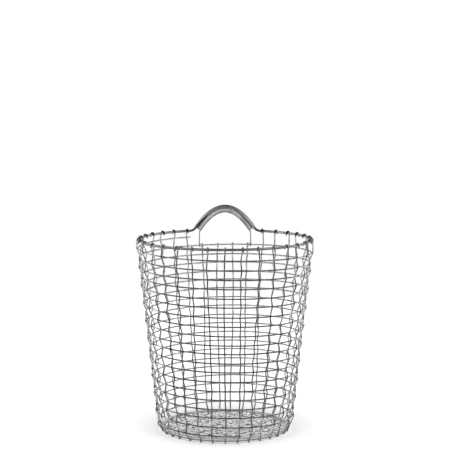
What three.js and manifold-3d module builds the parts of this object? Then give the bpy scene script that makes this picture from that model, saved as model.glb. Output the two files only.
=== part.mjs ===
// A round, tapered basket woven from galvanized wire, with one carrying handle at the back of its rim.
// Sizes are in millimetres, +Z is up and the handle is at +Y. The origin is the middle of the circle of feet.
import * as THREE from 'three';
import { mergeVertices } from 'three/addons/utils/BufferGeometryUtils.js';
import Module from 'manifold-3d';

const wasm = await Module();
wasm.setup();

// Driving dimensions. A wire's size is its diameter, and radii and heights are those of its centre line.
const CLEARANCE = 0.3; // between wires that lie against each other
const WEAVE_CLEARANCE = 0.4; // between the spiral and an upright, which passes it at a slant

// The rim
const RIM_RADIUS = 146.5;
const RIM_HEIGHT = 328;
const RIM_WIRE = 4.3;
const RIM_JOINT = 1; // gap between the two ends of the rim wire, which meet inside the grip

// The weave
const UPRIGHTS = 33; // odd, so that one spiral can pass outside one upright and inside the next
const SHORT_UPRIGHTS = 4; // below the handle, where the rim wire has left the rim
const UPRIGHT_WIRE = 2.2;
const HOOK_TAIL = 4; // free end of a hook, below the middle of the wire that it goes over
const WALL_OVERHANG = 3.2; // from the rim out to the middle of the woven wall, at the rim's height
const WALL_SPREAD = 5.4; // from the foot ring out to the middle of the woven wall, at its lower end
const SPIRAL_WIRE = 2.2;
const SPIRAL_DROP = 12; // from the rim to the start of the spiral
const SPIRAL_PITCH = 15.6;
const SPIRAL_BOTTOM = 12.4; // least height of the spiral
const SPIRAL_STUB = 6; // free end of the spiral past its first and its last upright

// The foot and the floor
const FOOT_RADIUS = 108;
const FOOT_WIRE = 3;
const FLOOR_INSET = 1.5; // from the foot ring to the border of the floor
const FLOOR_BORDER_WIRE = 3.4;
const FLOOR_WIRE = 1.1;
const FLOOR_PITCH = 8;
const FLOOR_ASKEW = THREE.MathUtils.degToRad(8.5); // turn of the floor's mesh from the handle's direction

// The handle
const HANDLE_SPAN = 98.6; // between the middles of the grip's two ends
const HANDLE_RISE = 36.4; // from the grip's ends to its top
const HANDLE_LIFT = 3.2; // from the rim to the grip's ends
const GRIP_OUTER = 14.2;
const GRIP_SHEET = 0.8;
const GRIP_SEAM = 4.5; // width of the seam, which is left open towards the inside of the basket
const RISE_ROOM = 4; // along the rim, from the last hook to where the rim wire starts to rise
const BEND_REACH = 4; // how far the bend of the rim wire reaches to either side
const GRIP_EXIT = 1.2; // straight stretch of a wire where it leaves the grip
const STAY_WIRE = 2;
const STAY_TUCK = 8; // length of a stay inside the grip
const STAY_SPACE = 4.6; // along the spiral, from the last short upright to the stay's hook

// How finely the wires are divided
const WEAVE_SIDES = 4;
const FLOOR_SIDES = 4;
const RING_SIDES = 8;
const RING_STEPS = 48;
const BEND_STEPS = 6;
const GRIP_STEPS = 16;
const GRIP_ARC_STEPS = 5;

// Worked out from the dimensions above
const gapAngle = (2 * Math.PI) / UPRIGHTS;
const uprightHalf = apothem(UPRIGHT_WIRE, WEAVE_SIDES);
const rimWrap = (RIM_WIRE + UPRIGHT_WIRE) / 2 + CLEARANCE;
const weaveOffset = (SPIRAL_WIRE + UPRIGHT_WIRE) / 2 + WEAVE_CLEARANCE;
const footWrap = (FOOT_WIRE + UPRIGHT_WIRE) / 2 + CLEARANCE;
const stayWrap = (SPIRAL_WIRE + STAY_WIRE) / 2 + CLEARANCE;
const footHeight = footWrap + uprightHalf;
const floorHeight = footHeight + (FOOT_WIRE + FLOOR_BORDER_WIRE) / 2 + CLEARANCE;
const floorRadius = FOOT_RADIUS - FLOOR_INSET;
const spiralTop = RIM_HEIGHT - SPIRAL_DROP;
const crossings = Math.floor(((spiralTop - SPIRAL_BOTTOM) / SPIRAL_PITCH) * UPRIGHTS) + 1;
const firstUpright = Math.ceil((UPRIGHTS + SHORT_UPRIGHTS) / 2); // the one where the spiral starts
const riseAngle = (firstUpright - UPRIGHTS / 2) * gapAngle - RISE_ROOM / RIM_RADIUS;
const gripBore = GRIP_OUTER / 2 - GRIP_SHEET;

// The handle's arch stands on the rim's circle and leans back until the grip reaches as far out as the hooks.
const archHalf = HANDLE_SPAN / 2;
const archBack = Math.sqrt(RIM_RADIUS ** 2 - archHalf ** 2);
const hookReach = RIM_RADIUS + rimWrap + uprightHalf;
const archFrame = new THREE.Group();
archFrame.position.set(0, archBack, RIM_HEIGHT + HANDLE_LIFT);
archFrame.rotation.x = -Math.asin((hookReach - GRIP_OUTER / 2 - archBack) / HANDLE_RISE);
archFrame.updateMatrixWorld();

// A wire's centre line through given corners. At each corner the section lies in the plane that halves the
// bend, widened so that the wire keeps its thickness, and its first axis keeps to the given side.
class WirePath extends THREE.Curve {
  constructor(corners, side) {
    super();
    this.corners = corners;
    this.side = side;
  }

  getPointAt(t) {
    return this.corners[this.cornerAt(t)].clone();
  }

  cornerAt(t) {
    return Math.round(t * (this.corners.length - 1));
  }

  direction(i) {
    return new THREE.Vector3().subVectors(this.corners[i + 1], this.corners[i]).normalize();
  }

  computeFrenetFrames(segments) {
    const frames = { tangents: [], normals: [], binormals: [] };
    for (let i = 0; i <= segments; i += 1) {
      const tangent = this.direction(Math.max(i - 1, 0));
      tangent.add(this.direction(Math.min(i, segments - 1)));
      const widening = 2 / tangent.length();
      tangent.normalize();
      const binormal = new THREE.Vector3().crossVectors(tangent, this.side).normalize();
      frames.tangents.push(tangent);
      frames.normals.push(new THREE.Vector3().crossVectors(binormal, tangent));
      frames.binormals.push(binormal.multiplyScalar(widening));
    }
    return frames;
  }
}

// Half the width across the flats of the polygon that has a round wire's area.
function apothem(wire, sides) {
  return (wire / 2) * Math.sqrt(Math.PI / (sides * Math.tan(Math.PI / sides)));
}

function wireSection(wire, sides) {
  const reach = apothem(wire, sides) / Math.cos(Math.PI / sides);
  const corners = [];
  for (let i = 0; i < sides; i += 1) {
    const turn = ((2 * i + 1) * Math.PI) / sides;
    corners.push(new THREE.Vector2(reach * Math.cos(turn), reach * Math.sin(turn)));
  }
  return new THREE.Shape(corners);
}

function sweep(section, corners, side, curveSegments = 1) {
  const extrudePath = new WirePath(corners, side);
  return new THREE.ExtrudeGeometry(section, { steps: corners.length - 1, curveSegments, extrudePath });
}

function ring(wire, radius, height) {
  const section = wireSection(wire, RING_SIDES).getPoints();
  const profile = section.map((p) => new THREE.Vector2(radius + p.x, p.y));
  profile.push(profile[0].clone());
  return new THREE.LatheGeometry(profile, RING_STEPS).rotateX(Math.PI / 2).translate(0, 0, height);
}

// A point of a given radius and height, at an angle counted from the front towards +X.
function around(angle, radius, height) {
  return new THREE.Vector3(radius * Math.sin(angle), -radius * Math.cos(angle), height);
}

// The middle of the woven wall: a cone a little wider than the rim and the foot ring.
function wallRadius(height) {
  return THREE.MathUtils.lerp(FOOT_RADIUS + WALL_SPREAD, RIM_RADIUS + WALL_OVERHANG, height / RIM_HEIGHT);
}

// The spiral is straight past each upright and has its corners midway between two.
function spiralCorner(i) {
  const height = spiralTop - (SPIRAL_PITCH * (i - 0.5)) / UPRIGHTS;
  return around((firstUpright + i - 0.5) * gapAngle, wallRadius(height) / Math.cos(gapAngle / 2), height);
}

// Where the spiral makes its crossing of that number, or a point between two crossings.
function spiralPoint(number) {
  const crossing = Math.round(number);
  const past = Math.tan((number - crossing) * gapAngle) / (2 * Math.tan(gapAngle / 2));
  return spiralCorner(crossing).lerp(spiralCorner(crossing + 1), 0.5 + past);
}

// Half an octagon round a wire, as radii and heights: over its top where lift is 1, under it where lift is
// -1, from the side that is first (1 outside, -1 inside), with the lengths of its legs past the middle.
function bendRound(radius, height, wrap, lift, first, firstLeg, lastLeg) {
  const half = shortLeg(wrap);
  return [
    [radius + first * wrap, height - lift * firstLeg],
    [radius + first * wrap, height + lift * half],
    [radius + first * half, height + lift * wrap],
    [radius - first * half, height + lift * wrap],
    [radius - first * wrap, height + lift * half],
    [radius - first * wrap, height - lift * lastLeg],
  ];
}

// Half a side of that octagon, which is also the length of a leg with no straight stretch of its own.
function shortLeg(wrap) {
  return wrap * Math.tan(Math.PI / 8);
}

// An upright in its own radial plane, from the free end of its hook down to its foot. It passes outside the
// spiral at one crossing and inside at the next, goes straight past the last one and bends in to the foot
// ring. A short one hooks over the spiral instead of the rim.
function uprightCorners(number) {
  const first = (number - firstUpright + UPRIGHTS) % UPRIGHTS;
  const isShort = Math.abs(number - UPRIGHTS / 2) < SHORT_UPRIGHTS / 2;
  const passes = [];
  for (let crossing = first; crossing < crossings; crossing += UPRIGHTS) {
    const point = spiralPoint(crossing);
    const outside = crossing % 2 === 0 ? 1 : -1;
    passes.push({ radius: Math.hypot(point.x, point.y), height: point.z, outside });
  }
  const overRim = { radius: RIM_RADIUS, height: RIM_HEIGHT, outside: passes[0].outside };
  const top = isShort ? passes.shift() : overRim;
  const wrap = isShort ? weaveOffset : rimWrap;
  const line = passes.map((pass) => [pass.radius + pass.outside * weaveOffset, pass.height]);
  const [kneeRadius, lastHeight] = line.at(-1);
  const corners = [
    ...bendRound(top.radius, top.height, wrap, 1, -top.outside, HOOK_TAIL, shortLeg(wrap)),
    ...line,
    [kneeRadius, lastHeight - weaveOffset],
    ...bendRound(FOOT_RADIUS, footHeight, footWrap, -1, 1, shortLeg(footWrap), shortLeg(footWrap)),
  ];
  return corners.map(([radius, height]) => new THREE.Vector3(radius, 0, height));
}

// A point of the handle's arch: a parabola, or a line at a distance outside it.
function archPoint(x, distance) {
  const normal = new THREE.Vector3((2 * HANDLE_RISE * x) / archHalf ** 2, 0, 1).normalize();
  return new THREE.Vector3(x, 0, HANDLE_RISE * (1 - (x / archHalf) ** 2)).addScaledVector(normal, distance);
}

// The direction in which a wire leaves the grip at the end on that side.
function exitDirection(side) {
  const direction = new THREE.Vector3(side, 0, (-2 * HANDLE_RISE) / archHalf);
  return direction.transformDirection(archFrame.matrixWorld);
}

// The rim wire from its end inside the grip to the middle of the rim's front, on the side of +X or -X. It
// lies against the top of the grip's bore, leaves the grip straight and bends into the rim's circle.
function halfRim(side) {
  const distance = gripBore - RIM_WIRE / 2 - CLEARANCE;
  const corners = [];
  const archSteps = GRIP_STEPS / 2;
  for (let i = 0; i <= archSteps; i += 1) {
    corners.push(archFrame.localToWorld(archPoint((side * archHalf * i) / archSteps, distance)));
  }
  corners[0].lerp(corners[1], (RIM_JOINT / 2 / archHalf) * archSteps);
  const leaving = exitDirection(side);
  const exit = corners.at(-1).clone().addScaledVector(leaving, GRIP_EXIT);
  const landing = Math.PI - riseAngle;
  const end = around(side * landing, RIM_RADIUS, RIM_HEIGHT);
  const bend = new THREE.CubicBezierCurve3(
    exit,
    exit.clone().addScaledVector(leaving, BEND_REACH),
    end.clone().addScaledVector(around(side * (landing + Math.PI / 2), 1, 0), BEND_REACH),
    end,
  );
  corners.push(...bend.getPoints(BEND_STEPS));
  const steps = RING_STEPS / 2;
  for (let i = 1; i <= steps; i += 1) {
    corners.push(around(side * landing * (1 - i / steps), RIM_RADIUS, RIM_HEIGHT));
  }
  return corners;
}

function rimWire() {
  const corners = [...halfRim(1), ...halfRim(-1).reverse().slice(1)];
  return sweep(wireSection(RIM_WIRE, RING_SIDES), corners, new THREE.Vector3(0, 0, 1));
}

// A strip of sheet rolled round the arch, with its seam open to the front.
function handleGrip() {
  const outer = GRIP_OUTER / 2;
  const outerTurn = Math.asin(GRIP_SEAM / 2 / outer);
  const boreTurn = Math.asin(GRIP_SEAM / 2 / gripBore);
  const section = new THREE.Shape();
  section.absarc(0, 0, outer, outerTurn, 2 * Math.PI - outerTurn, false);
  section.absarc(0, 0, gripBore, 2 * Math.PI - boreTurn, boreTurn, true);
  section.closePath();
  const corners = [];
  for (let i = 0; i <= GRIP_STEPS; i += 1) {
    corners.push(archPoint(THREE.MathUtils.lerp(-archHalf, archHalf, i / GRIP_STEPS), 0));
  }
  return sweep(section, corners, new THREE.Vector3(0, -1, 0), GRIP_ARC_STEPS);
}

// A wire tucked into one end of the grip, which hooks under the turn of the spiral below the handle.
function handleStay(side) {
  const distance = gripBore - STAY_WIRE / 2 - CLEARANCE;
  const mouth = archFrame.localToWorld(archPoint(side * archHalf, -distance));
  const leaving = exitDirection(side);
  const lastShort = ((SHORT_UPRIGHTS - 1) / 2) * gapAngle;
  const angle = Math.PI - side * (lastShort + STAY_SPACE / wallRadius(spiralTop));
  const held = spiralPoint(angle / gapAngle - firstUpright + UPRIGHTS);
  const radius = Math.hypot(held.x, held.y);
  const hook = bendRound(radius, held.z, stayWrap, -1, 1, HOOK_TAIL, HOOK_TAIL);
  const corners = [
    mouth.clone().addScaledVector(leaving, -STAY_TUCK),
    mouth.clone().addScaledVector(leaving, GRIP_EXIT),
    ...hook.map(([r, z]) => around(angle, r, z)),
  ];
  return sweep(wireSection(STAY_WIRE, WEAVE_SIDES), corners, around(angle + Math.PI / 2, 1, 0));
}

// One unbroken wire. The least gap between its turns is measured between corners one above the other.
function weavingSpiral() {
  const corners = [];
  for (let i = 0; i <= crossings; i += 1) {
    corners.push(spiralCorner(i));
  }
  let leastGap = Infinity;
  for (let i = UPRIGHTS; i <= crossings; i += 1) {
    leastGap = Math.min(leastGap, corners[i].distanceTo(corners[i - UPRIGHTS]) - SPIRAL_WIRE);
  }
  console.log(`weaving spiral: least gap to itself ${leastGap.toFixed(2)} mm`);
  const start = spiralPoint(0);
  const end = spiralPoint(crossings - 1);
  corners[0].sub(start).setLength(SPIRAL_STUB).add(start);
  corners[crossings].sub(end).setLength(SPIRAL_STUB).add(end);
  return sweep(wireSection(SPIRAL_WIRE, WEAVE_SIDES), corners, new THREE.Vector3(0, 0, 1));
}

function toSolid(geometry) {
  geometry.deleteAttribute('normal');
  geometry.deleteAttribute('uv');
  const merged = mergeVertices(geometry);
  const vertProperties = new Float32Array(merged.attributes.position.array);
  const triVerts = new Uint32Array(merged.index.array);
  return new wasm.Manifold(new wasm.Mesh({ numProp: 3, vertProperties, triVerts }));
}

function toGeometry(solid) {
  const mesh = solid.getMesh();
  const geometry = new THREE.BufferGeometry();
  geometry.setAttribute('position', new THREE.BufferAttribute(mesh.vertProperties, 3));
  geometry.setIndex(new THREE.BufferAttribute(mesh.triVerts, 1));
  geometry.computeVertexNormals();
  return geometry;
}

// A square mesh: one layer of straight wires across another, all let into a round border.
function floorMesh() {
  const layer = (FLOOR_WIRE + CLEARANCE) / 2;
  const reach = Math.floor(floorRadius / FLOOR_PITCH);
  let solid = toSolid(ring(FLOOR_BORDER_WIRE, floorRadius, floorHeight));
  for (const upper of [false, true]) {
    const turn = FLOOR_ASKEW + (upper ? Math.PI / 2 : 0);
    const height = floorHeight + (upper ? layer : -layer);
    for (let i = -reach; i <= reach; i += 1) {
      const offset = i * FLOOR_PITCH;
      const half = Math.sqrt(floorRadius ** 2 - offset ** 2);
      const ends = [new THREE.Vector3(-half, offset, height), new THREE.Vector3(half, offset, height)];
      const wire = sweep(wireSection(FLOOR_WIRE, FLOOR_SIDES), ends, new THREE.Vector3(0, 0, 1));
      solid = solid.add(toSolid(wire.rotateZ(turn)));
    }
  }
  return toGeometry(solid);
}

const basket = new THREE.Group();

function addPiece(name, geometry, color, roughness, parent = basket) {
  const mesh = new THREE.Mesh(geometry, new THREE.MeshStandardMaterial({ color, roughness, metalness: 0.9 }));
  mesh.name = name;
  parent.add(mesh);
  return mesh;
}

addPiece('rim_wire', rimWire(), 0x8f9193, 0.42);
addPiece('handle_grip', handleGrip(), 0xa4a6a8, 0.38, archFrame);
basket.add(archFrame);
addPiece('handle_stay_left', handleStay(-1), 0x9c9ea0, 0.45);
addPiece('handle_stay_right', handleStay(1), 0x9c9ea0, 0.45);
const uprightSection = wireSection(UPRIGHT_WIRE, WEAVE_SIDES);
for (let number = 0; number < UPRIGHTS; number += 1) {
  const name = `upright_${String(number + 1).padStart(2, '0')}`;
  const geometry = sweep(uprightSection, uprightCorners(number), new THREE.Vector3(0, 1, 0));
  addPiece(name, geometry, 0x9c9ea0, 0.45).rotation.z = number * gapAngle - Math.PI / 2;
}
addPiece('weaving_spiral', weavingSpiral(), 0x9c9ea0, 0.45);
addPiece('foot_ring', ring(FOOT_WIRE, FOOT_RADIUS, footHeight), 0x8f9193, 0.45);
addPiece('floor_mesh', floorMesh(), 0x9a9c9e, 0.5);

export default basket;
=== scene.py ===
"""The looks of a round, tapered basket woven from galvanized wire, with a rolled sheet grip on its handle.

Lengths are in metres, +Z is up and the handle is at +Y. Angles go from the front, -Y, towards +X.
"""

import math
import random

import bmesh
import bpy
from mathutils import Matrix, Vector
from mathutils.geometry import interpolate_bezier


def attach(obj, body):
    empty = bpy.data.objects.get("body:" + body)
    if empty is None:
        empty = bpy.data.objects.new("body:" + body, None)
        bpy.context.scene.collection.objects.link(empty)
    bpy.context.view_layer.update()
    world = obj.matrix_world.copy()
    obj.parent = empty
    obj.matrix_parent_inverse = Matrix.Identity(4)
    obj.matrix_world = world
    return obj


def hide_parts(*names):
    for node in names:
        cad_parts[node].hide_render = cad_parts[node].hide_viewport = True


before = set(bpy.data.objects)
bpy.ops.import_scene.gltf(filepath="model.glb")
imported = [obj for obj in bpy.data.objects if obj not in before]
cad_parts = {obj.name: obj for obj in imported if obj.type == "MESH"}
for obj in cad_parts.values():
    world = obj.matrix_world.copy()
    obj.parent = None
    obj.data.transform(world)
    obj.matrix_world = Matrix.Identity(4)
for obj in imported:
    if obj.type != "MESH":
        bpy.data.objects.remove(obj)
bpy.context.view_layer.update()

# Sizes of the basket. A wire's size is its diameter, and radii and heights are those of its centre line.
TOUCH = 0.00005  # between wires that lie against each other
RIM_RADIUS = 0.1465
RIM_HEIGHT = 0.328
RIM_WIRE = 0.0043
RIM_JOINT = 0.001  # between the two ends of the rim wire, inside the grip
UPRIGHTS = 33  # odd, so that one spiral can pass outside one upright and inside the next
SHORT_UPRIGHTS = 4  # below the handle, hooked over the spiral
UPRIGHT_WIRE = 0.0024
HOOK_TAIL = 0.004  # free end of a hook, past the middle of the wire that it goes round
WALL_OVERHANG = 0.0032  # of the woven wall's middle beyond the rim, at the rim's height
WALL_SPREAD = 0.0054  # and beyond the foot ring, at the lower end
SPIRAL_WIRE = 0.0024
SPIRAL_TOP = 0.316
SPIRAL_PITCH = 0.0156
SPIRAL_BOTTOM = 0.0124
SPIRAL_STUB = 0.006  # free end of the spiral past its first and its last upright
FOOT_RADIUS = 0.108
FOOT_WIRE = 0.003
FLOOR_RADIUS = 0.1065
FLOOR_HEIGHT = 0.007375
FLOOR_BORDER_WIRE = 0.0024
FLOOR_WIRE = 0.0011
FLOOR_PITCH = 0.008
FLOOR_ASKEW = math.radians(8.5)  # turn of the floor's mesh from the handle's direction
HANDLE_SPAN = 0.0986  # between the middles of the grip's two ends
HANDLE_RISE = 0.0364  # from the grip's ends to its top
HANDLE_LIFT = 0.0032  # from the rim to the grip's ends
HANDLE_LEAN = math.radians(9.44)  # backwards
GRIP_OUTER = 0.0142
GRIP_SHEET = 0.0008
GRIP_EDGE = GRIP_SHEET / 4  # width of the rounding of the sheet's edges
GRIP_SEAM_ENDS = {-1: 0.0075, 1: 0.003}  # width of the grip's seam at its left and right end
GRIP_SEAM_MIDDLE = 0.0003
GRIP_SEAM_START = 0.5  # share of the way from the middle to an end at which the seam starts to open
GRIP_TWIST = math.radians(18)  # of the seam at its left end, towards the top
RISE_ROOM = 0.004  # along the rim, from the last hook to where the rim wire starts to rise
BEND_REACH = 0.004  # how far the bend of the rim wire reaches to either side
GRIP_EXIT = 0.0012  # straight stretch of a wire where it leaves the grip
STAY_WIRE = 0.002
STAY_TUCK = 0.008  # length of a stay inside the grip
STAY_SPACE = 0.0046  # along the spiral, from the last short upright to the stay's hook

# How uneven the work of the hand is. The length of a wave is given for each radian.
SPIRAL_SWAY = 0.0009  # up and down
SPIRAL_WAVES = [(0.5, 12.7, 0), (0.3, 5.9, 1), (0.4, 31, 2)]  # share of the sway, length in crossings, start
UPRIGHT_DRIFT = 0.0005  # sideways at a crossing
UPRIGHT_WANDER = 0.0016  # sideways over the height
UPRIGHT_WANDER_LENGTHS = (0.04, 0.09)  # shortest and longest
HOOK_DRIFT = 0.0012  # sideways at the rim and at the foot ring
FLOOR_SWAY = 0.002  # sideways, of a wire of the floor
FLOOR_SWAY_LENGTHS = {0.007: 0.4, 0.012: 0.6}  # of its two waves, with each one's share
FLOOR_WAVE = 0.0014  # up and down
FLOOR_WAVE_ACROSS = 0.004  # length of the waves that run across the floor
FLOOR_WAVE_ALONG = 0.005  # and of those from the front to the back
FLOOR_WAVE_BEND = 0.008  # length of the bends in both
FLOOR_WAVE_SHIFT = 2.0  # in radians, how far a bend moves a wave along
uneven = random.Random(33)

# The zinc of each kind of piece: its darkest and lightest grey, its flakes and patches, and its sheen
WIRE_ZINC = dict(dark=0.05, light=1.0, flake_size=0.004, patch_size=0.008, roughness=0.14, metallic=0.95)
RIM_ZINC = dict(dark=0.2, light=0.65, flake_size=0.005, patch_size=0.014, roughness=0.28, metallic=0.95)
SHEET_ZINC = dict(dark=0.22, light=0.71, flake_size=0.003, patch_size=0.005, roughness=0.3, metallic=0.92)
NET_ZINC = dict(dark=0.65, light=0.97, flake_size=0.004, patch_size=0.01, roughness=0.5, metallic=0.3)
DULL_ZINC = dict(dark=0.3, light=0.8, flake_size=0.004, patch_size=0.01, roughness=0.5, metallic=0.35)
SHEET_STREAK = 3  # how much longer the sheet's patches are along the grip than across it
GRAIN_SIZE = 1 / 1800
PATCH_DETAIL = 4.0
PATCH_ROUGHNESS = 0.6
GRAIN_DETAIL = 3.0
PATCH_RANGE = (0.34, 0.68)  # of the noise, from a dark patch to a light one
PATCH_SHARE = 0.55  # of the patches in the tone of the zinc
FLAKE_SHARE = 0.3
GRAIN_SHARE = 0.15
FLAKE_RELIEF = 0.4  # of a flake, where that of the grain is 1
RELIEF_HEIGHT = 0.0002
RELIEF_STRENGTH = 0.35
DARK_ROUGHNESS = 0.15  # how much rougher the darkest zinc is than the lightest

# Painted shade on the zinc: the share of its grey that is darkened to a near-black where that shade is
# deepest, and where that is
HOOK_SHADE = 0.95  # painted shade on the hooks, at the back
HOOK_SHADE_FRONT = 0.5
HOOKS_FROM = 0.322  # height at which the painted shade on the hooks starts
FOOT_SHADE = 0.6
FEET_TO = 0.022  # height up to which the feet are darkened by painted shade
RIM_BACK_SHADE = 0.85  # painted shade on the back of the rim and where it is bent up to the handle
NECK_FROM = 0.11  # how far back that painted shade starts
SPOT_SHADE = 0.97
SPOT_SIZE = 0.006  # of the spots of painted shade on the wires of the floor
SPOT_DETAIL = 2.0
SPOT_RANGE = (0.5, 0.58)  # of the noise, from clean zinc to a spot of painted shade
# the near-black grey that all painted shade darkens the zinc towards
PAINTED_SHADE_GREY = 0.02

# How finely the pieces are divided
WIRE_ROUNDNESS = 3
BEND_STEPS = 4
SPIRAL_STEPS = 4  # in each gap between two uprights
RING_STEPS = 160
RISE_STEPS = 12
ARCH_STEPS = 48
SECTION_STEPS = 40
EDGE_STEPS = 2
FLOOR_STEPS = 4  # in each gap of the floor's mesh
CARD_STEPS = 24
SHARP_ANGLE = math.radians(50)  # from which an edge is shaded as sharp
ROUNDED_ANGLE = math.radians(60)  # from which an edge of the sheet is rounded

# The camera. Its lens and its sensor are in millimetres.
CAMERA_PLACE = (0, -2.5, 0.621)
CAMERA_DIP = math.radians(6.124)
CAMERA_LENS = 118.0
SENSOR = 36.0

# The ground
GROUND_SIZE = 3.0
GROUND_COLOUR = 0.8
GROUND_LIFT = 0.42  # light of its own that the ground shows to the camera near the basket
GROUND_LIFT_FAR = 0.62  # and away from it, where the lamp's light falls off
GROUND_FAR_RANGE = (0.25, 0.9)  # distance at which it starts to fall off, and at which it stops
GROUND_LIFT_IN_PAINTED_SHADOW = 0.13  # and under the basket, below the middle of its floor, where a painted shadow dims it and deepens the lamp's own shadow
PAINTED_SHADOW_EDGE = 0.04  # how far inside the floor's border that painted shadow starts to thin out
PAINTED_SHADOW_REACH = 0.02  # and how far beyond the foot ring it ends

# The light, and what metal shows of the room, where the horizon behind the basket is 1
AMBIENT = 0.4  # light of the surroundings where they aren't seen
CEILING = 0.06
CEILING_RANGE = (0.08, 0.45)  # rise of a direction, from the horizon to the ceiling
ROOM = 0.9  # behind the camera
ROOM_RANGE = (-0.5, 0.5)  # how far back a direction goes, from that room to the horizon behind the basket
SIDES = 0.9  # the walls to the left and right
SIDES_RANGE = (0.3, 0.7)  # how far aside a direction goes, from the rest of the room to those walls
LAMP_PLACE = Vector((0, -0.25, 2.2))
LAMP_AIM = Vector((0, 0, 0.18))
LAMP_SIZE = 0.9
LAMP_POWER = 30.0

# The dark cards bent round the front and the back of the basket, which only its metal shows
CARD_SPACE = 0.035  # from the wall to a card
CARD_HEIGHT = 0.324
CARD_REACH = math.radians(67)  # to either side
CARD_TONE = 0.11
CARD_NEAR = 0.12  # distance up to which metal shows a card
CARD_FAR = 0.144  # and from which it doesn't, so that each card darkens its own side of the basket

# Worked out from the sizes above
GAP = 2 * math.pi / UPRIGHTS
FIRST_UPRIGHT = math.ceil((UPRIGHTS + SHORT_UPRIGHTS) / 2)
CROSSINGS = math.floor((SPIRAL_TOP - SPIRAL_BOTTOM) / SPIRAL_PITCH * UPRIGHTS) + 1
RIM_WRAP = (RIM_WIRE + UPRIGHT_WIRE) / 2 + TOUCH
SPIRAL_WRAP = (SPIRAL_WIRE + UPRIGHT_WIRE) / 2 + TOUCH
FOOT_WRAP = (FOOT_WIRE + UPRIGHT_WIRE) / 2 + TOUCH
FOOT_HEIGHT = FOOT_WRAP + UPRIGHT_WIRE / 2
STAY_WRAP = (SPIRAL_WIRE + STAY_WIRE) / 2 + TOUCH
ARCH_HALF = HANDLE_SPAN / 2
ARCH_BACK = math.sqrt(RIM_RADIUS**2 - ARCH_HALF**2)
ARCH = Matrix.Translation((0, ARCH_BACK, RIM_HEIGHT + HANDLE_LIFT)) @ Matrix.Rotation(-HANDLE_LEAN, 4, "X")
GRIP_BORE = GRIP_OUTER / 2 - GRIP_SHEET


class Value:
    """A shader socket that takes part in Python sums."""

    def __init__(self, shader, socket):
        self.shader = shader
        self.socket = socket

    def __add__(self, other):
        return self.shader.math("ADD", self, other)

    def __sub__(self, other):
        return self.shader.math("SUBTRACT", self, other)

    def __rsub__(self, other):
        return self.shader.math("SUBTRACT", other, self)

    def __mul__(self, other):
        return self.shader.math("MULTIPLY", self, other)

    __radd__ = __add__
    __rmul__ = __mul__


class Shader:
    """The node tree of a material or of the world, written as calls."""

    def __init__(self, owner):
        owner.use_nodes = True
        self.tree = owner.node_tree
        self.tree.nodes.clear()

    def node(self, kind, settings=None, inputs=None, output=0):
        """One of the outputs of a new node, whose inputs are plain values or other nodes' outputs."""
        made = self.tree.nodes.new(kind)
        for name, value in (settings or {}).items():
            setattr(made, name, value)
        for name, value in (inputs or {}).items():
            if isinstance(value, Value):
                self.tree.links.new(value.socket, made.inputs[name])
            else:
                made.inputs[name].default_value = value
        return Value(self, made.outputs[output]) if made.outputs else None

    def math(self, operation, *operands):
        return self.node("ShaderNodeMath", {"operation": operation}, dict(enumerate(operands)))

    def place(self, coordinates="Object"):
        return self.node("ShaderNodeTexCoord", output=coordinates)

    def axes(self, place, names):
        return [self.node("ShaderNodeSeparateXYZ", inputs={0: place}, output=name) for name in names]

    def distance(self, place):
        """How far a place is from the origin, which is on the ground in the middle of the feet."""
        return self.node("ShaderNodeVectorMath", {"operation": "LENGTH"}, {0: place}, output="Value")

    def noise(self, place, size, detail, roughness=0.5):
        inputs = {"Vector": place, "Scale": 1 / size, "Detail": detail, "Roughness": roughness}
        return self.node("ShaderNodeTexNoise", inputs=inputs)

    def ray(self, fact):
        return self.node("ShaderNodeLightPath", output=fact)

    def seen(self):
        """1 to rays from the camera, reflected ones and those through glass, and 0 to the rest."""
        straight_or_reflected = self.math("MAXIMUM", self.ray("Is Camera Ray"), self.ray("Is Glossy Ray"))
        return self.math("MAXIMUM", straight_or_reflected, self.ray("Is Transmission Ray"))

    def ramp(self, value, start, end, first, last):
        """A number that goes from first to last while the value goes from start to end."""
        inputs = {"Value": value, "From Min": start, "From Max": end, "To Min": first, "To Max": last}
        return self.node("ShaderNodeMapRange", inputs=inputs)

    def blend(self, factor, first, second):
        """A colour between two others."""
        settings = {"data_type": "RGBA"}
        return self.node("ShaderNodeMix", settings, {"Factor": factor, 6: first, 7: second}, output=2)

    def glow(self, strength):
        return self.node("ShaderNodeEmission", inputs={"Color": grey(1), "Strength": strength})


def grey(level):
    return (level, level, level, 1)


def painted_shade_on_bends(shader):
    """How far the zinc is darkened by painted shade where the wires are bent over the rim, more at the back
    than at the front, and round the foot ring.
    """
    back, height = shader.axes(shader.place(), "YZ")
    most = shader.ramp(back, 0.0, RIM_RADIUS / 2, HOOK_SHADE_FRONT, HOOK_SHADE)
    hooks = most * shader.ramp(height, HOOKS_FROM, RIM_HEIGHT, 0.0, 1.0)
    feet = shader.ramp(height, FEET_TO, FOOT_HEIGHT, 0.0, FOOT_SHADE)
    return hooks + feet


def painted_shade_on_rim_back(shader):
    """How far the zinc is darkened by painted shade on the back of the rim and where it is bent up to the
    handle.
    """
    [back] = shader.axes(shader.place(), "Y")
    return shader.ramp(back, NECK_FROM, ARCH_BACK, 0.0, RIM_BACK_SHADE)


def painted_shade_spots(shader):
    """How far the zinc is darkened by spots of painted shade on the wires of the floor's mesh. The border has
    none.
    """
    place = shader.place()
    spot = shader.ramp(shader.noise(place, SPOT_SIZE, SPOT_DETAIL), *SPOT_RANGE, 0.0, 1.0)
    border = FLOOR_RADIUS - FLOOR_BORDER_WIRE
    return spot * shader.ramp(shader.distance(place), FLOOR_RADIUS - FLOOR_PITCH, border, SPOT_SHADE, 0.0)


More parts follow.
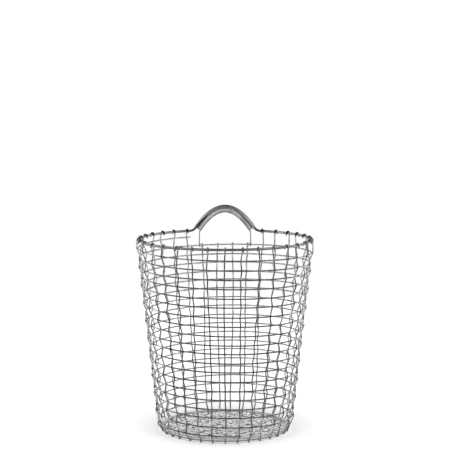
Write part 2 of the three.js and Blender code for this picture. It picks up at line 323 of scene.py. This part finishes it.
def galvanized(
    name, dark, light, flake_size, patch_size, roughness, metallic, coordinates="Object", painted_shade=None
):
    """Zinc-coated steel: flakes of zinc crystal, duller patches, and a fine grain."""
    material = bpy.data.materials.new(name)
    shader = Shader(material)
    place = shader.place(coordinates)
    flake_inputs = {"Vector": place, "Scale": 1 / flake_size}
    flakes = shader.node("ShaderNodeTexVoronoi", inputs=flake_inputs, output="Color")
    flake = shader.node("ShaderNodeSeparateColor", inputs={"Color": flakes})
    cloud = shader.noise(place, patch_size, PATCH_DETAIL, PATCH_ROUGHNESS)
    patch = shader.ramp(cloud, *PATCH_RANGE, 0.0, 1.0)
    grain = shader.noise(place, GRAIN_SIZE, GRAIN_DETAIL)
    tone = patch * PATCH_SHARE + flake * FLAKE_SHARE + grain * GRAIN_SHARE
    colour = shader.blend(tone, grey(dark), grey(light))
    # painted shade, where a piece has it: the zinc darkened towards a near-black
    if painted_shade:
        colour = shader.blend(painted_shade(shader), colour, grey(PAINTED_SHADE_GREY))
    relief = grain + flake * FLAKE_RELIEF
    bump_inputs = {"Strength": RELIEF_STRENGTH, "Distance": RELIEF_HEIGHT, "Height": relief}
    surface = shader.node(
        "ShaderNodeBsdfPrincipled",
        inputs={
            "Base Color": colour,
            "Metallic": metallic,
            "Roughness": roughness + DARK_ROUGHNESS * (1 - tone),
            "Normal": shader.node("ShaderNodeBump", inputs=bump_inputs),
        },
    )
    shader.node("ShaderNodeOutputMaterial", inputs={"Surface": surface})
    return material


def add_object(name, data):
    made = bpy.data.objects.new(name, data)
    bpy.context.scene.collection.objects.link(made)
    return made


def finished_mesh(name, shape):
    """The mesh of a bmesh that is done with."""
    mesh = bpy.data.meshes.new(name)
    shape.to_mesh(mesh)
    shape.free()
    return mesh


def show(name, mesh, nodes, material):
    """A finished piece that stands for its CAD nodes."""
    mesh.materials.append(material)
    mesh.shade_smooth()
    mesh.set_sharp_from_angle(angle=SHARP_ANGLE)
    piece = add_object(name, mesh)
    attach(piece, "root")
    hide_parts(*nodes)


def wire_mesh(name, runs):
    """Round wires as one mesh: each run has its points, its thickness and whether it closes on itself."""
    wires = bmesh.new()
    for points, thickness, closed in runs:
        line = bpy.data.curves.new(name, "CURVE")
        line.dimensions = "3D"
        line.bevel_depth = thickness / 2
        line.bevel_resolution = WIRE_ROUNDNESS
        line.use_fill_caps = not closed
        spline = line.splines.new("POLY")
        spline.points.add(len(points) - 1)
        for place, point in zip(spline.points, points):
            place.co = (*point, 1)
        spline.use_cyclic_u = closed
        holder = bpy.data.objects.new(name, line)
        wire = bpy.data.meshes.new_from_object(holder)
        wires.from_mesh(wire)
        bpy.data.objects.remove(holder)
        bpy.data.curves.remove(line)
        bpy.data.meshes.remove(wire)
    return finished_mesh(name, wires)


def around(angle, radius, height):
    """The point at an angle round the basket."""
    return Vector((radius * math.sin(angle), -radius * math.cos(angle), height))


def bent(corners):
    """The points of a wire that is straight, but for a bend at each corner with its reach to both sides."""
    points = [corners[0][0]]
    for (before, _), (corner, reach), (after, _) in zip(corners, corners[1:], corners[2:]):
        start = corner + (before - corner).normalized() * reach
        end = corner + (after - corner).normalized() * reach
        for step in range(BEND_STEPS + 1):
            t = step / BEND_STEPS
            points.append(start.lerp(corner, t).lerp(corner.lerp(end, t), t))
    points.append(corners[-1][0])
    return points


def half_side(wrap):
    """Half a side of the octagon whose inner radius is wrap. A bend round a wire follows its sides."""
    return wrap * math.tan(math.pi / 8)


def bend_round(radius, height, wrap, lift, first, first_leg, last_leg):
    """Half a turn round a wire, as radii, heights and reaches.

    It goes over the wire where lift is 1, and under it where lift is -1.
    It starts outside the wire where first is 1, and inside where first is -1.
    """
    half = half_side(wrap)
    return [
        (radius + first * wrap, height - lift * first_leg, half / 2),
        (radius + first * wrap, height + lift * half, half),
        (radius + first * half, height + lift * wrap, half),
        (radius - first * half, height + lift * wrap, half),
        (radius - first * wrap, height + lift * half, half),
        (radius - first * wrap, height - lift * last_leg, half / 2),
    ]


def wall_radius(height):
    """The middle of the woven wall."""
    foot = FOOT_RADIUS + WALL_SPREAD
    return foot + (RIM_RADIUS + WALL_OVERHANG - foot) * height / RIM_HEIGHT


def spiral_height(number):
    """Height at a crossing's number. Three slow waves that never fall in step make the turns uneven."""
    sway = sum(share * math.sin(number / length + start) for share, length, start in SPIRAL_WAVES)
    return SPIRAL_TOP - SPIRAL_PITCH * number / UPRIGHTS + SPIRAL_SWAY * sway


def spiral_point(number):
    height = spiral_height(number)
    return around((FIRST_UPRIGHT + number) * GAP, wall_radius(height), height)


def upright_points(number):
    """One upright, from the free end of its hook to its foot, by turns outside and inside the spiral."""
    first = (number - FIRST_UPRIGHT) % UPRIGHTS
    is_short = abs(number - UPRIGHTS / 2) < SHORT_UPRIGHTS / 2
    passes = []
    for crossing in range(first, CROSSINGS, UPRIGHTS):
        point = spiral_point(crossing)
        passes.append((math.hypot(point.x, point.y), point.z, 1 if crossing % 2 == 0 else -1))
    if is_short:
        radius, height, outside = passes.pop(0)
        wrap = SPIRAL_WRAP
    else:
        radius, height, outside = RIM_RADIUS, RIM_HEIGHT, passes[0][2]
        wrap = RIM_WRAP
    hook_drift = HOOK_DRIFT * uneven.uniform(-1, 1)
    foot_drift = HOOK_DRIFT * uneven.uniform(-1, 1)
    hook = bend_round(radius, height, wrap, 1, -outside, HOOK_TAIL, half_side(wrap))
    line = [(*corner, hook_drift) for corner in hook]
    length = uneven.uniform(*UPRIGHT_WANDER_LENGTHS)
    phase = uneven.uniform(0, 2 * math.pi)
    for radius, height, outside in passes:
        drift = UPRIGHT_DRIFT * uneven.uniform(-1, 1) + UPRIGHT_WANDER * math.sin(height / length + phase)
        line.append((radius + outside * SPIRAL_WRAP, height, SPIRAL_WRAP / 2, drift))
    knee_radius, last_height, reach, drift = line[-1]
    line.append((knee_radius, last_height - SPIRAL_WRAP, reach, drift))
    leg = half_side(FOOT_WRAP)
    foot = bend_round(FOOT_RADIUS, FOOT_HEIGHT, FOOT_WRAP, -1, 1, leg, leg)
    line += [(*corner, foot_drift) for corner in foot]
    turn = Matrix.Rotation(number * GAP - math.pi / 2, 3, "Z")
    return bent([(turn @ Vector((radius, drift, height)), reach) for radius, height, reach, drift in line])


def arch_point(x, distance):
    """A point of the handle's arch, or of a line at a distance outside it."""
    normal = Vector((2 * HANDLE_RISE * x / ARCH_HALF**2, 0, 1)).normalized()
    return Vector((x, 0, HANDLE_RISE * (1 - (x / ARCH_HALF) ** 2))) + normal * distance


def exit_direction(side):
    """The direction in which a wire leaves the grip's end on that side."""
    return ARCH.to_3x3() @ Vector((side, 0, -2 * HANDLE_RISE / ARCH_HALF)).normalized()


def half_rim(side):
    """The rim wire from the top of the handle to the middle of the front."""
    distance = GRIP_BORE - RIM_WIRE / 2 - TOUCH
    start = RIM_JOINT / 2
    half_steps = ARCH_STEPS // 2
    points = []
    for i in range(half_steps + 1):
        x = start + (ARCH_HALF - start) * i / half_steps
        points.append(ARCH @ arch_point(side * x, distance))
    leaving = exit_direction(side)
    mouth = points[-1] + leaving * GRIP_EXIT
    landing = math.pi - (FIRST_UPRIGHT - UPRIGHTS / 2) * GAP + RISE_ROOM / RIM_RADIUS
    end = around(side * landing, RIM_RADIUS, RIM_HEIGHT)
    along = around(side * (landing + math.pi / 2), 1, 0)
    bend_up = mouth + leaving * BEND_REACH
    bend_down = end + along * BEND_REACH
    points += interpolate_bezier(mouth, bend_up, bend_down, end, RISE_STEPS)
    ring_half = RING_STEPS // 2
    for i in range(1, ring_half + 1):
        points.append(around(side * landing * (1 - i / ring_half), RIM_RADIUS, RIM_HEIGHT))
    return points


def rim_mesh():
    points = half_rim(1) + half_rim(-1)[-2::-1]
    return wire_mesh("rim", [(points, RIM_WIRE, False)])


def stay_mesh(side):
    """A thin wire tucked into one end of the grip and hooked under the spiral."""
    distance = GRIP_BORE - STAY_WIRE / 2 - TOUCH
    mouth = ARCH @ arch_point(side * ARCH_HALF, -distance)
    leaving = exit_direction(side)
    last_short = (SHORT_UPRIGHTS - 1) / 2 * GAP
    angle = math.pi - side * (last_short + STAY_SPACE / wall_radius(SPIRAL_TOP))
    held = spiral_point(angle / GAP - FIRST_UPRIGHT + UPRIGHTS)
    hook = bend_round(math.hypot(held.x, held.y), held.z, STAY_WRAP, -1, 1, HOOK_TAIL, HOOK_TAIL)
    corners = [(mouth - leaving * STAY_TUCK, 0), (mouth + leaving * GRIP_EXIT, STAY_WIRE)]
    corners += [(around(angle, radius, height), reach) for radius, height, reach in hook]
    return wire_mesh("stay", [(bent(corners), STAY_WIRE, False)])


def spiral_mesh():
    stub = SPIRAL_STUB / (RIM_RADIUS * GAP)
    last = CROSSINGS - 1
    numbers = [-stub] + [i / SPIRAL_STEPS for i in range(last * SPIRAL_STEPS + 1)] + [last + stub]
    return wire_mesh("spiral", [([spiral_point(number) for number in numbers], SPIRAL_WIRE, False)])


def ring_points(radius, height):
    return [around(2 * math.pi * i / RING_STEPS, radius, height) for i in range(RING_STEPS)]


def floor_wave(place):
    """How far up or down the floor's mesh lies at a place, from -1 to 1. Wires that cross there share it."""
    across = place.x / FLOOR_WAVE_ACROSS + FLOOR_WAVE_SHIFT * math.sin(place.y / FLOOR_WAVE_BEND)
    along = place.y / FLOOR_WAVE_ALONG + FLOOR_WAVE_SHIFT * math.sin(place.x / FLOOR_WAVE_BEND)
    return (math.sin(across) + math.sin(along)) / 2


def floor_run(index, sign, turn):
    """One wire of the floor's mesh, over and under those that cross it, with its ends let into the border."""
    offset = index * FLOOR_PITCH
    half = math.sqrt(FLOOR_RADIUS**2 - offset**2)
    crimp = sign * (FLOOR_WIRE / 2 + TOUCH)
    count = math.ceil(2 * half / FLOOR_PITCH * FLOOR_STEPS)
    waves = [(length, share, uneven.uniform(0, 2 * math.pi)) for length, share in FLOOR_SWAY_LENGTHS.items()]
    points = []
    for i in range(count + 1):
        along = half * (2 * i / count - 1)
        loose = min(1, (FLOOR_RADIUS - math.hypot(along, offset)) / FLOOR_PITCH)
        aside = FLOOR_SWAY * sum(share * math.sin(along / length + phase) for length, share, phase in waves)
        point = turn @ Vector((along, offset + loose * aside, FLOOR_HEIGHT))
        point.z += crimp * math.cos(math.pi * (along / FLOOR_PITCH + index))
        point.z += loose * FLOOR_WAVE * floor_wave(point)
        points.append(point)
    return points


def floor_mesh():
    turns = {1: Matrix.Rotation(FLOOR_ASKEW, 3, "Z"), -1: Matrix.Rotation(FLOOR_ASKEW + math.pi / 2, 3, "Z")}
    reach = math.floor(FLOOR_RADIUS / FLOOR_PITCH)
    runs = [(ring_points(FLOOR_RADIUS, FLOOR_HEIGHT), FLOOR_BORDER_WIRE, True)]
    for index in range(-reach, reach + 1):
        for sign, turn in turns.items():
            runs.append((floor_run(index, sign, turn), FLOOR_WIRE, False))
    return wire_mesh("floor", runs)


def rolled(along, across):
    """Where a point of the flat strip goes when it is rolled round the arch. Both shares run from -1 to 1."""
    x = along * ARCH_HALF
    opening = max(0, abs(along) - GRIP_SEAM_START) / (1 - GRIP_SEAM_START)
    width = GRIP_SEAM_MIDDLE + (GRIP_SEAM_ENDS[math.copysign(1, along)] - GRIP_SEAM_MIDDLE) * opening
    twist = GRIP_TWIST * max(0, -along)
    turn = math.pi + twist + across * (math.pi - math.asin(width / GRIP_OUTER))
    centre = arch_point(x, 0)
    outward = arch_point(x, 1) - centre
    return ARCH @ (centre + GRIP_OUTER / 2 * (outward * math.sin(turn) - Vector((0, math.cos(turn), 0))))


def grip_mesh():
    """A strip of sheet rolled round the arch, with rounded edges. Its UV map is the flat strip."""
    sheet = bmesh.new()
    bmesh.ops.create_grid(sheet, x_segments=ARCH_STEPS, y_segments=SECTION_STEPS, size=1)
    flat = sheet.loops.layers.uv.new("flat")
    for face in sheet.faces:
        for corner in face.loops:
            x, y, _ = corner.vert.co
            corner[flat].uv = (x * ARCH_HALF / SHEET_STREAK, y * GRIP_OUTER * math.pi / 2)
    for vertex in sheet.verts:
        vertex.co = rolled(vertex.co.x, vertex.co.y)
    bmesh.ops.recalc_face_normals(sheet, faces=sheet.faces)
    bmesh.ops.solidify(sheet, geom=sheet.faces, thickness=GRIP_SHEET)
    sharp = [edge for edge in sheet.edges if edge.calc_face_angle(0) > ROUNDED_ANGLE]
    bmesh.ops.bevel(
        sheet,
        geom=sharp,
        offset=GRIP_EDGE,
        affect="EDGES",
        segments=EDGE_STEPS,
        profile=0.5,
        material=-1,
    )
    return finished_mesh("grip", sheet)


def make_pieces():
    thin = galvanized("galvanized_wire", **WIRE_ZINC, painted_shade=painted_shade_on_bends)
    thick = galvanized("galvanized_rim", **RIM_ZINC, painted_shade=painted_shade_on_rim_back)
    sheet = galvanized("galvanized_sheet", **SHEET_ZINC, coordinates="UV")
    net = galvanized("galvanized_net", **NET_ZINC, painted_shade=painted_shade_spots)
    dull = galvanized("galvanized_dull_wire", **DULL_ZINC)
    show("rim", rim_mesh(), ["rim_wire"], thick)
    show("grip", grip_mesh(), ["handle_grip"], sheet)
    show("stay_left", stay_mesh(-1), ["handle_stay_left"], dull)
    show("stay_right", stay_mesh(1), ["handle_stay_right"], dull)
    for number in range(UPRIGHTS):
        node = f"upright_{number + 1:02d}"
        mesh = wire_mesh(node, [(upright_points(number), UPRIGHT_WIRE, False)])
        show(f"wire_{node}", mesh, [node], thin)
    show("spiral", spiral_mesh(), ["weaving_spiral"], thin)
    foot = wire_mesh("foot", [(ring_points(FOOT_RADIUS, FOOT_HEIGHT), FOOT_WIRE, True)])
    show("foot", foot, ["foot_ring"], dull)
    show("floor", floor_mesh(), ["floor_mesh"], net)


def pale_ground():
    """White to the camera, with a light of its own that is dimmed under and round the basket as a painted
    shadow, over the lamp's own shadow, and more far off.
    """
    material = bpy.data.materials.new("pale_ground")
    shader = Shader(material)
    distance = shader.distance(shader.place())
    start = FLOOR_RADIUS - PAINTED_SHADOW_EDGE
    end = FOOT_RADIUS + PAINTED_SHADOW_REACH
    lift_with_painted_shadow = shader.ramp(distance, start, end, GROUND_LIFT_IN_PAINTED_SHADOW, GROUND_LIFT)
    lift = lift_with_painted_shadow + shader.ramp(distance, *GROUND_FAR_RANGE, 0.0, GROUND_LIFT_FAR - GROUND_LIFT)
    matt = shader.node("ShaderNodeBsdfDiffuse", inputs={"Color": grey(GROUND_COLOUR)})
    surface = shader.node("ShaderNodeAddShader", inputs={0: matt, 1: shader.glow(shader.seen() * lift)})
    shader.node("ShaderNodeOutputMaterial", inputs={"Surface": surface})
    return material


def make_ground():
    """A pale floor, which keeps the basket's shadow."""
    plane = bmesh.new()
    bmesh.ops.create_grid(plane, x_segments=1, y_segments=1, size=GROUND_SIZE / 2)
    mesh = finished_mesh("ground", plane)
    mesh.materials.append(pale_ground())
    ground = add_object("ground", mesh)


def dark_card():
    """Dark to metal that is near, and clear to the rest."""
    material = bpy.data.materials.new("dark_card")
    shader = Shader(material)
    far = shader.ramp(shader.ray("Ray Length"), CARD_NEAR, CARD_FAR, 0.0, 1.0)
    clear = shader.node("ShaderNodeBsdfTransparent")
    surface = shader.node("ShaderNodeMixShader", inputs={0: far, 1: shader.glow(CARD_TONE), 2: clear})
    shader.node("ShaderNodeOutputMaterial", inputs={"Surface": surface})
    return material


def make_card(name, middle, material):
    """A card bent round one side of the basket, which is seen in reflections alone."""
    bend = bmesh.new()
    bmesh.ops.create_grid(bend, x_segments=CARD_STEPS, y_segments=1, size=1)
    for vertex in bend.verts:
        height = CARD_HEIGHT * (1 + vertex.co.y) / 2
        vertex.co = around(middle + CARD_REACH * vertex.co.x, wall_radius(height) + CARD_SPACE, height)
    mesh = finished_mesh(name, bend)
    mesh.materials.append(material)
    card = add_object(name, mesh)
    card.visible_camera = False
    card.visible_diffuse = False
    card.visible_shadow = False


def make_cards():
    material = dark_card()
    make_card("card_front", 0, material)
    make_card("card_back", math.pi, material)


def make_room():
    """Surroundings that are white to the camera, shaded to metal, and dim where they only give light."""
    world = bpy.data.worlds.new("studio")
    bpy.context.scene.world = world
    shader = Shader(world)
    aside, back, up = shader.axes(shader.place("Generated"), "XYZ")
    room = shader.ramp(up, *CEILING_RANGE, 1.0, CEILING) * shader.ramp(back, *ROOM_RANGE, ROOM, 1.0)
    wall = shader.ramp(shader.math("ABSOLUTE", aside), *SIDES_RANGE, 0.0, 1.0)
    reflected = room + wall * (SIDES - room)
    shown = reflected + shader.ray("Is Camera Ray") * (1 - reflected)
    strength = AMBIENT + shader.seen() * (shown - AMBIENT)
    sky = shader.node("ShaderNodeBackground", inputs={"Color": grey(1), "Strength": strength})
    shader.node("ShaderNodeOutputWorld", inputs={"Surface": sky})


def make_lamp():
    """A soft lamp overhead, which reflections don't show."""
    lamp = bpy.data.lights.new("top", "AREA")
    lamp.size = LAMP_SIZE
    lamp.energy = LAMP_POWER
    holder = add_object("top", lamp)
    holder.location = LAMP_PLACE
    holder.rotation_euler = (LAMP_AIM - LAMP_PLACE).to_track_quat("-Z", "Y").to_euler()
    holder.visible_glossy = False


def make_camera():
    camera = bpy.data.cameras.new("camera")
    camera.sensor_width = SENSOR
    camera.lens = CAMERA_LENS
    holder = add_object("camera", camera)
    holder.location = CAMERA_PLACE
    holder.rotation_euler = (math.pi / 2 - CAMERA_DIP, 0, 0)
    bpy.context.scene.camera = holder


make_pieces()
make_ground()
make_cards()
make_room()
make_lamp()
make_camera()
bpy.context.scene.view_settings.view_transform = "Standard"
